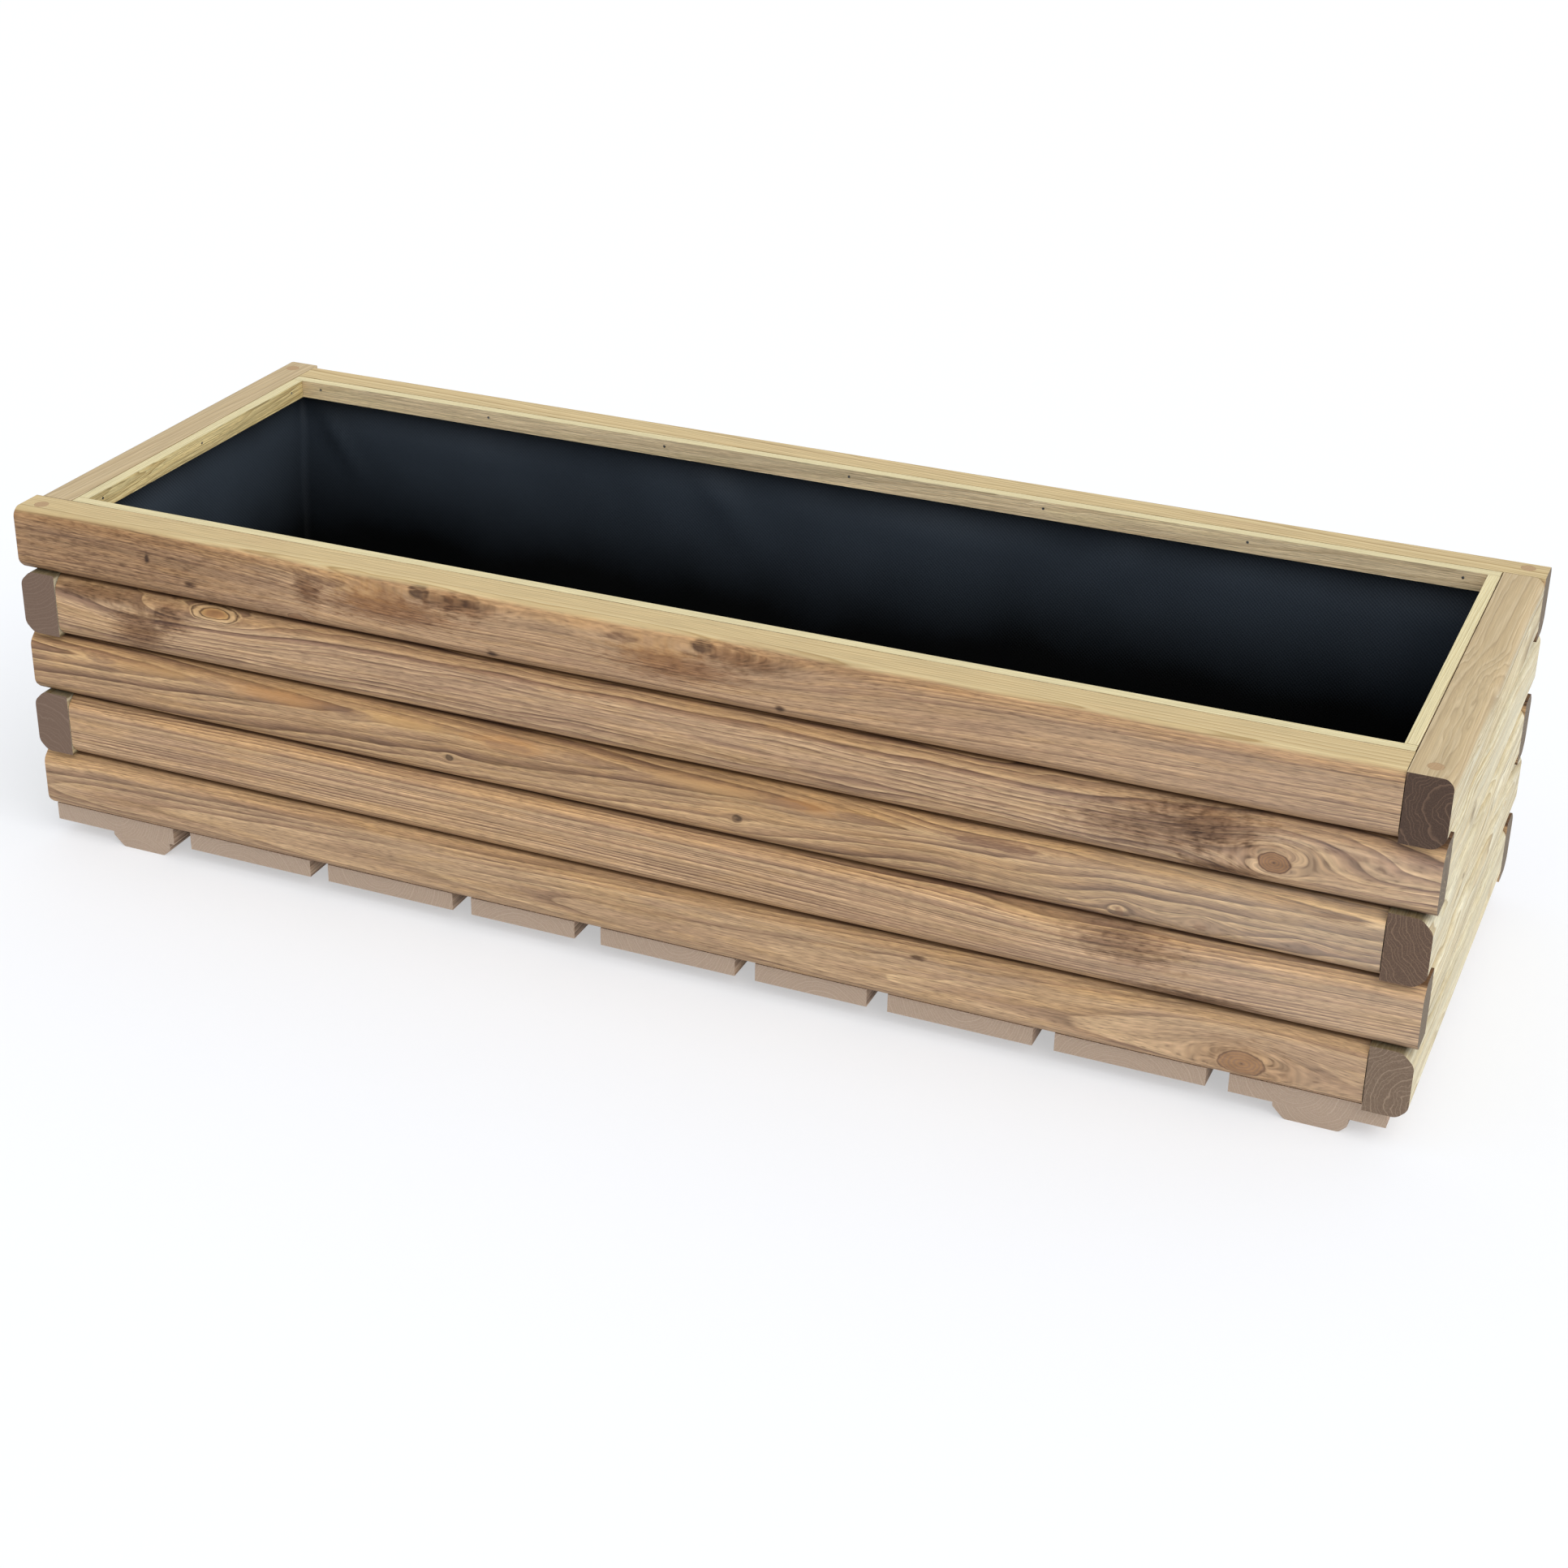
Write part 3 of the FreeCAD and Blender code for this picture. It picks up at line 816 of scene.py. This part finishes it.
RIGHT_PITHS = ((-6, 2, 5.5), (-25, -30, 4.5), (-45, 40, 4), (-8, 16, 5), (-14, -22, 4.5))
RIGHT_ENDS = (
    ("47352a", "6c5443"), ("47352a", "6c5443"), ("5d483a", "836a55"),
    ("5d483a", "836a55"), ("756150", "9a8570"))
RIGHT_MARKS = (
    (Mark(KNOT, -30, 27, 22, 10, 0.7, flow=1),
     Mark(FLOW, 120, -12, 30, 12, flow=1)),
    (Mark(SMUDGE, -105, -4, 16, 9, 0.5, flow=0.8),),
    (Mark(FLOW, 90, 4, 40, 12, flow=1),
     Mark(SMUDGE, -110, 2, 8, 3, 0.7, flow=0.5)),
    (Mark(FLOW, 45, 14, 50, 10, flow=1),
     Mark(EYE, 165, 18, 14, 5, 0.6, flow=0.8)),
    (Mark(KNOT, 150, -6, 16, 9, 0.5, flow=1),))


@dataclass
class Walls:
    """The twenty lapped wall boards."""

    workshop: Workshop
    courses: int = 5
    first_seed: float = 10.0
    seed_step: float = 3.0

    def build(self) -> list[str]:
        """Finish every board.

        Returns:
            The names of the finished nodes.
        """
        names = []
        for timber in FRONT_TIMBERS:
            self.workshop.finish(timber, STAINED)
            names.append(timber.node)
        # The end walls take the paler copy of the stain, partly painted light from the bright
        # right side.
        for axis, wall, finish in (
                (Axis.RIGHT, "right", PALE_LIT_SIDE), (Axis.BACK, "back", STAINED),
                (Axis.LEFT, "left", SHADED)):
            for course in range(1, self.courses + 1):
                pattern = FRONT_TIMBERS[(course * 2 + len(names)) % self.courses]
                timber = replace(
                    pattern, node=f"{wall}_board_{course}", axis=axis,
                    seed=self.first_seed + len(names) * self.seed_step, marks=(),
                    tone="ffffff", pale=0.0, shade_above=float(course > 1),
                    shade_below=float(course < self.courses))
                if axis is Axis.RIGHT:
                    depth, up, ring = RIGHT_PITHS[course - 1]
                    timber = replace(
                        timber, pith_depth=depth, pith_up=up, ring=ring, squash=1.0,
                        crown=1.0, slope=0.035, ripple=1.2, sway=12.0,
                        marks=RIGHT_MARKS[course - 1])
                    dark, light = RIGHT_ENDS[course - 1]
                    finish = replace(PALE_LIT_SIDE, end_dark=dark, end_light=light)
                self.workshop.finish(timber, finish)
                names.append(timber.node)
        return names


BATTEN = Timber(
    "liner_batten", Axis.FRONT, 90.0, ring=2.5, ripple=0.8, contrast=0.4, shade_above=0.0,
    shade_below=0.0)
LIVELY_BATTEN = replace(BATTEN, ripple=1.6, contrast=0.9, tone="f0f2da")
DOWEL = Timber("corner_dowel", Axis.UPRIGHT, 70.0, ring=2.0, shade_above=1.0, shade_below=0.0)


@dataclass
class Trim:
    """The battens inside the rim and the plugs of the corner dowels."""

    workshop: Workshop

    def build(self) -> list[str]:
        """Finish the battens and the dowels.

        Returns:
            The names of the finished nodes.
        """
        names = []
        for pattern, axis, place, finish in (
                (BATTEN, Axis.BACK, "front", CREAM), (BATTEN, Axis.LEFT, "right", CREAM),
                (BATTEN, Axis.FRONT, "back", CREAM),
                (LIVELY_BATTEN, Axis.RIGHT, "left", CREAM),
                (DOWEL, Axis.UPRIGHT, "front_left", PLUG),
                (DOWEL, Axis.UPRIGHT, "front_right", PLUG),
                (DOWEL, Axis.UPRIGHT, "back_right", PLUG),
                (DOWEL, Axis.UPRIGHT, "back_left", PLUG)):
            timber = replace(
                pattern, node=f"{pattern.node}_{place}", axis=axis,
                seed=pattern.seed + len(names))
            self.workshop.finish(timber, finish)
            names.append(timber.node)
        return names


@dataclass
class Base:
    """The slats and the runners, each cut from one side or the other of the pith."""

    workshop: Workshop
    slats: int = 9
    first_seed: float = 120.0
    seed_step: float = 3.0
    pith_depth: float = 30.0
    pith_up: float = 15.0

    def build(self) -> list[str]:
        """Finish the slats and the runners.

        Returns:
            The names of the finished nodes.
        """
        names = [f"base_slat_{number}" for number in range(1, self.slats + 1)]
        names += ["foot_runner_left", "foot_runner_right"]
        for place, node in enumerate(names):
            timber = Timber(
                node, Axis.SLAT, self.first_seed + self.seed_step * place,
                pith_depth=self.pith_depth * (-1.0 if place % 2 else 1.0),
                pith_up=self.pith_up * math.sin(place), slope=0.01, squash=1.0, ring=3.0,
                shade_above=0.0, shade_below=0.0)
            self.workshop.finish(timber, SAWN)
        return names


@dataclass(frozen=True)
class BrightSteel:
    """Drawn steel wire and rolled screws, zinc plated: grey, half matt, a little streaky.

    The clouds in the plating are about 2 mm wide.
    """

    name: str = "zinc_plated_steel_drawn"
    pale: str = "b4b6b8"
    dull: str = "7f8284"
    roughness: float = 0.42
    clouds_per_metre: float = 450.0

    def material(self) -> bpy.types.Material:
        """Make the plated steel.

        Returns:
            The material.
        """
        made, tree = new_material(self.name)
        add = partial(add_node, tree)
        place = add("TexCoord", (), "Object")
        cloud = add(
            "TexNoise", {"Vector": place, "Scale": self.clouds_per_metre, "Detail": 3.0}, "Fac")
        colour = add("ValToRGB", (cloud,), stops=((0.35, self.dull), (0.65, self.pale)))
        rough = add("MapRange", (cloud, 0.3, 0.7, self.roughness - 0.1, self.roughness + 0.15))
        set_surface(tree, add(
            "BsdfPrincipled", {"Base Color": colour, "Metallic": 1.0, "Roughness": rough}))
        return made


@dataclass
class Fixings:
    """The brads, nails and screws."""

    finish: BrightSteel = BrightSteel()
    nodes: tuple[str, ...] = ("batten_brads", "slat_nails", "runner_screws")

    def build(self) -> list[str]:
        """Finish the fixings.

        Returns:
            The names of the finished nodes.
        """
        made = self.finish.material()
        for name in self.nodes:
            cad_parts[name].material_slots[0].material = made
        return list(self.nodes)


@dataclass(frozen=True)
class WovenFabric:
    """Woven polypropylene ground cloth: flat black tapes, lighter in patches, with a blue-grey
    sheen painted on towards the rim and painted shade just under it.

    The tapes are drawn 3 mm wide because the real 1.5 mm ones would not show. The bands are
    heights in metres and their shares.
    """

    name: str = "black_polypropylene_woven"
    deep: str = "040506"
    # The cloth's own black deep down, and the blue-grey sheen painted on near the rim.
    sheen: str = "343c46"
    tape_mm: float = 3.0
    tape_lean: float = 0.7
    tape_relief_mm: float = 0.25
    roughness: float = 0.5
    sheen_band: Band = (0.16, 0.33, 0.0, 0.8)
    shaded_band: Band = (0.32, 0.37, 1.0, 0.6)
    clouds_per_metre: float = 7.0
    cloud_share: float = 0.4
    tape_share: float = 0.04

    def material(self) -> bpy.types.Material:
        """Make the woven cloth.

        Returns:
            The material.
        """
        made, tree = new_material(self.name)
        add = partial(add_node, tree)
        place = add("TexCoord", (), "Object")
        turns = 2 * math.pi * PER_METRE / self.tape_mm
        waves = []
        for direction in ((1.0, 1.0, 1.0), (1.0, 1.0, -1.0)):
            along = add("VectorMath:DOT_PRODUCT", (place, direction), "Value")
            turned = add("Math:MULTIPLY", (along, turns * self.tape_lean))
            waves.append(add("Math:SINE", (turned,)))
        weave = add("Math:MULTIPLY_ADD", (waves[1], 0.5, waves[0]))
        cloud = add(
            "TexNoise", {"Vector": place, "Scale": self.clouds_per_metre, "Detail": 3.0}, "Fac")
        height = add("SeparateXYZ", (place,)).node.outputs[2]
        # A sheen painted on towards the rim, and shade painted just under it.
        sheen, shaded = (
            add("MapRange:SMOOTHSTEP", (height, *band))
            for band in (self.sheen_band, self.shaded_band))
        shade = add("Math:MULTIPLY", (sheen, shaded))
        for level, share in ((cloud, self.cloud_share), (weave, self.tape_share)):
            shade = add("Math:MULTIPLY_ADD", (level, share, shade))
        colour = add("ValToRGB", (shade,), stops=((0.3, self.deep), (1.0, self.sheen)))
        normal = add(
            "Bump", {"Height": weave, "Strength": 0.25, "Distance": self.tape_relief_mm * MM})
        set_surface(tree, add(
            "BsdfPrincipled",
            {"Base Color": colour, "Roughness": self.roughness, "Normal": normal,
             "Specular IOR Level": 0.2}))
        return made


@dataclass
class Liner:
    """The woven liner: an open tray that hangs from behind the battens and sags inwards.

    Its sizes are millimetres. A crease has its start along the back wall, how far it leans for
    each step down, half its width and its rise. The folds are in turns of noise for each metre
    along the wall and up it.
    """

    finish: WovenFabric = WovenFabric()
    half_length: float = 706.9
    half_width: float = 224.4
    floor_height: float = 37.2
    top_height: float = 383.0
    batten_bottom: float = 364.0
    corner_radius: float = 9.0
    corner_cells: int = 5
    sag: float = 8.0
    most: float = 12.0
    top_ease: float = 45.0
    floor_ease: float = 60.0
    wall_ease: float = 30.0
    wall_from: float = 0.8
    folds: tuple[float, float] = (5.0, 3.0)
    fine_folds: tuple[float, float] = (14.0, 6.0)
    creases: tuple[tuple[float, float, float, float], ...] = (
        (-682.0, 0.6, 16.0, 8.0), (-180.0, 0.6, 34.0, 6.0), (330.0, -0.5, 40.0, 4.0))
    crease_depth: float = 110.0
    cell: float = 10.0
    cloth: float = 0.5
    flat: tuple[float, float] = (2.11, 1.15)

    def build(self) -> list[str]:
        """Build the cloth and dress it.

        Returns:
            The name of the piece.
        """
        shape = bmesh.new()
        self.fold_tray(shape)
        self.divide(shape)
        self.slacken(shape)
        mesh = bpy.data.meshes.new("woven_liner")
        shape.to_mesh(mesh)
        shape.free()
        for face in mesh.polygons:
            face.use_smooth = True
        liner = add_object("woven_liner", mesh)
        wall = liner.modifiers.new("cloth", "SOLIDIFY")
        wall.thickness = self.cloth * MM
        wall.offset = 1.0
        mesh.materials.append(self.finish.material())
        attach(liner, "root")
        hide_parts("liner")
        return [liner.name]

    def fold_tray(self, shape: bmesh.types.BMesh) -> None:
        """Make the open tray with rounded upright and floor edges.

        Args:
            shape: the mesh to fill.
        """
        bmesh.ops.create_cube(shape, size=2.0)
        tall = self.top_height - self.floor_height
        bmesh.ops.scale(
            shape, vec=(self.half_length * MM, self.half_width * MM, tall / 2 * MM),
            verts=shape.verts)
        bmesh.ops.translate(
            shape, vec=(0.0, 0.0, (self.floor_height + tall / 2) * MM), verts=shape.verts)
        lid = [face for face in shape.faces if face.normal.z > 0.9]
        bmesh.ops.delete(shape, geom=lid, context="FACES_ONLY")
        edges = [edge for edge in shape.edges if len(edge.link_faces) == 2]
        bmesh.ops.bevel(
            shape, geom=edges, offset=self.corner_radius * MM, segments=self.corner_cells,
            profile=0.5, affect="EDGES", material=-1)

    def divide(self, shape: bmesh.types.BMesh) -> None:
        """Cut the tray into small even cells, so that it can take folds.

        Args:
            shape: the tray.
        """
        spans = (
            (Vector((1, 0, 0)), -self.half_length, self.half_length),
            (Vector((0, 1, 0)), -self.half_width, self.half_width),
            (Vector((0, 0, 1)), self.floor_height, self.top_height))
        inset = self.corner_radius + 1.0
        for normal, start, stop in spans:
            count = int((stop - start - 2 * inset) / self.cell)
            for number in range(count + 1):
                place = start + inset + number * (stop - start - 2 * inset) / count
                everything = shape.verts[:] + shape.edges[:] + shape.faces[:]
                bmesh.ops.bisect_plane(
                    shape, geom=everything, plane_co=normal * place * MM, plane_no=normal)
        bmesh.ops.reverse_faces(shape, faces=shape.faces)

    def slacken(self, shape: bmesh.types.BMesh) -> None:
        """Let the walls sag inwards under the battens, with soft folds.

        Args:
            shape: the divided tray.
        """
        top = self.batten_bottom * MM
        for corner in shape.verts:
            place = corner.co.copy()
            drop = top - place.z
            if drop <= 0:
                continue
            share = min(drop / (self.top_ease * MM), 1.0)
            share = share * share * (3 - 2 * share)
            floor = (place.z - self.floor_height * MM) / (self.floor_ease * MM)
            floor = max(0.0, min(1.0, floor))
            for side, half in ((0, self.half_length * MM), (1, self.half_width * MM)):
                if abs(place[side]) / half < self.wall_from:
                    continue
                near = max(0.0, 1.0 - (half - abs(place[side])) / (self.wall_ease * MM))
                push = 0.5
                for strength, (along, up), lane in (
                        (0.8, self.folds, side * 7.0), (0.4, self.fine_folds, 3.0 + side)):
                    push += strength * noise.noise(
                        Vector((place[1 - side] * along, lane, place.z * up)))
                push *= self.sag * MM * share
                for start, lean, width, rise in self.creases:
                    gap = (place[1 - side] - start * MM - lean * drop) / (width * MM)
                    if side == 1 and place.y > 0 and abs(gap) < 1.0:
                        fade = max(0.0, 1.0 - drop / (self.crease_depth * MM))
                        push += rise * MM * share * fade * (1.0 - gap * gap) ** 2
                push = max(0.0, min(push, self.most * MM)) * floor * near
                corner.co[side] -= math.copysign(push, place[side])


@dataclass
class Studio:
    """The camera, the floor and plain soft light."""

    camera_place: Vec3 = (1.0109, -2.4323, 1.4472)
    aim: Vec3 = (0.0168, 0.0, 0.1016)
    roll_degrees: float = 1.125
    lens_mm: float = 62.9
    sensor_mm: float = 36.0
    floor_half: float = 30.0
    floor_paper: Colour = (0.9, 0.92, 0.98, 1.0)
    floor_glow: float = 0.45
    sky_colour: Colour = (0.92, 0.96, 1.0, 1.0)
    sky_strength: float = 0.8
    key_from: Vec3 = (0.62, -0.28, 0.73)
    key_strength: float = 1.6
    key_colour: Vec3 = (1.0, 0.96, 0.88)
    key_spread: float = 60.0

    def build(self) -> None:
        """Set up the whole stage."""
        self.add_camera()
        self.add_floor()
        self.add_light()

    def add_camera(self) -> None:
        """Add the camera at the photograph's viewing angle."""
        data = bpy.data.cameras.new("camera")
        data.lens = self.lens_mm
        data.sensor_width = self.sensor_mm
        camera = add_object("camera", data)
        direction = Vector(self.aim) - Vector(self.camera_place)
        turn = direction.to_track_quat("-Z", "Y").to_matrix().to_4x4()
        roll = Matrix.Rotation(math.radians(self.roll_degrees), 4, "Z")
        camera.matrix_world = Matrix.Translation(self.camera_place) @ turn @ roll
        bpy.context.scene.camera = camera

    def add_floor(self) -> None:
        """Add the plain pale floor."""
        mesh = bpy.data.meshes.new("floor")
        shape = bmesh.new()
        bmesh.ops.create_grid(shape, x_segments=1, y_segments=1, size=self.floor_half)
        shape.to_mesh(mesh)
        shape.free()
        made, tree = new_material("white_paper_floor_matt")
        add = partial(add_node, tree)
        paper = add("BsdfDiffuse", {"Color": self.floor_paper})
        glow = add("Emission", {"Color": WHITE, "Strength": 1.0})
        seen = self.seen_share(tree, self.floor_glow)
        set_surface(tree, add("MixShader", (seen, paper, glow)))
        mesh.materials.append(made)
        floor = add_object("floor", mesh)

    def seen_share(self, tree: Nodes, share: float) -> Socket:
        """Return a share that holds only where the eye or a mirror looks.

        Args:
            tree: the nodes of the floor or the sky.
            share: the share where it is seen.

        Returns:
            The share's socket.
        """
        add = partial(add_node, tree)
        path = add("LightPath").node.outputs
        seen = path["Is Camera Ray"]
        for ray in ("Is Glossy Ray", "Is Transmission Ray"):
            seen = add("Math:MAXIMUM", (seen, path[ray]))
        return add("Math:MULTIPLY", (seen, share))

    def add_light(self) -> None:
        """Add an even, slightly blue sky and one broad soft sun from the right."""
        world = bpy.data.worlds.new("studio_sky")
        world.use_nodes = True
        tree = world.node_tree
        tree.nodes.clear()
        add = partial(add_node, tree)
        sky = add("Background", {"Color": self.sky_colour, "Strength": self.sky_strength})
        white = add("Background", {"Color": WHITE, "Strength": 1.0})
        seen = self.seen_share(tree, 1.0)
        set_surface(tree, add("MixShader", (seen, sky, white)), "World")
        bpy.context.scene.world = world
        data = bpy.data.lights.new("key", "SUN")
        data.energy = self.key_strength
        data.color = self.key_colour
        data.angle = math.radians(self.key_spread)
        key = add_object("key", data)
        key.rotation_euler = (-Vector(self.key_from)).to_track_quat("-Z", "Y").to_euler()


def main() -> None:
    """Build the planter's looks and report each piece."""
    logging.basicConfig(level=logging.INFO, format="%(name)s: %(message)s")
    bpy.context.scene.view_settings.view_transform = "Standard"
    workshop = Workshop()
    for group in (
            Walls(workshop), Trim(workshop), Base(workshop), Fixings(), Liner()):
        for name in group.build():
            LOG.info("finished %s", name)
    Studio().build()


if __name__ == "__main__":
    main()
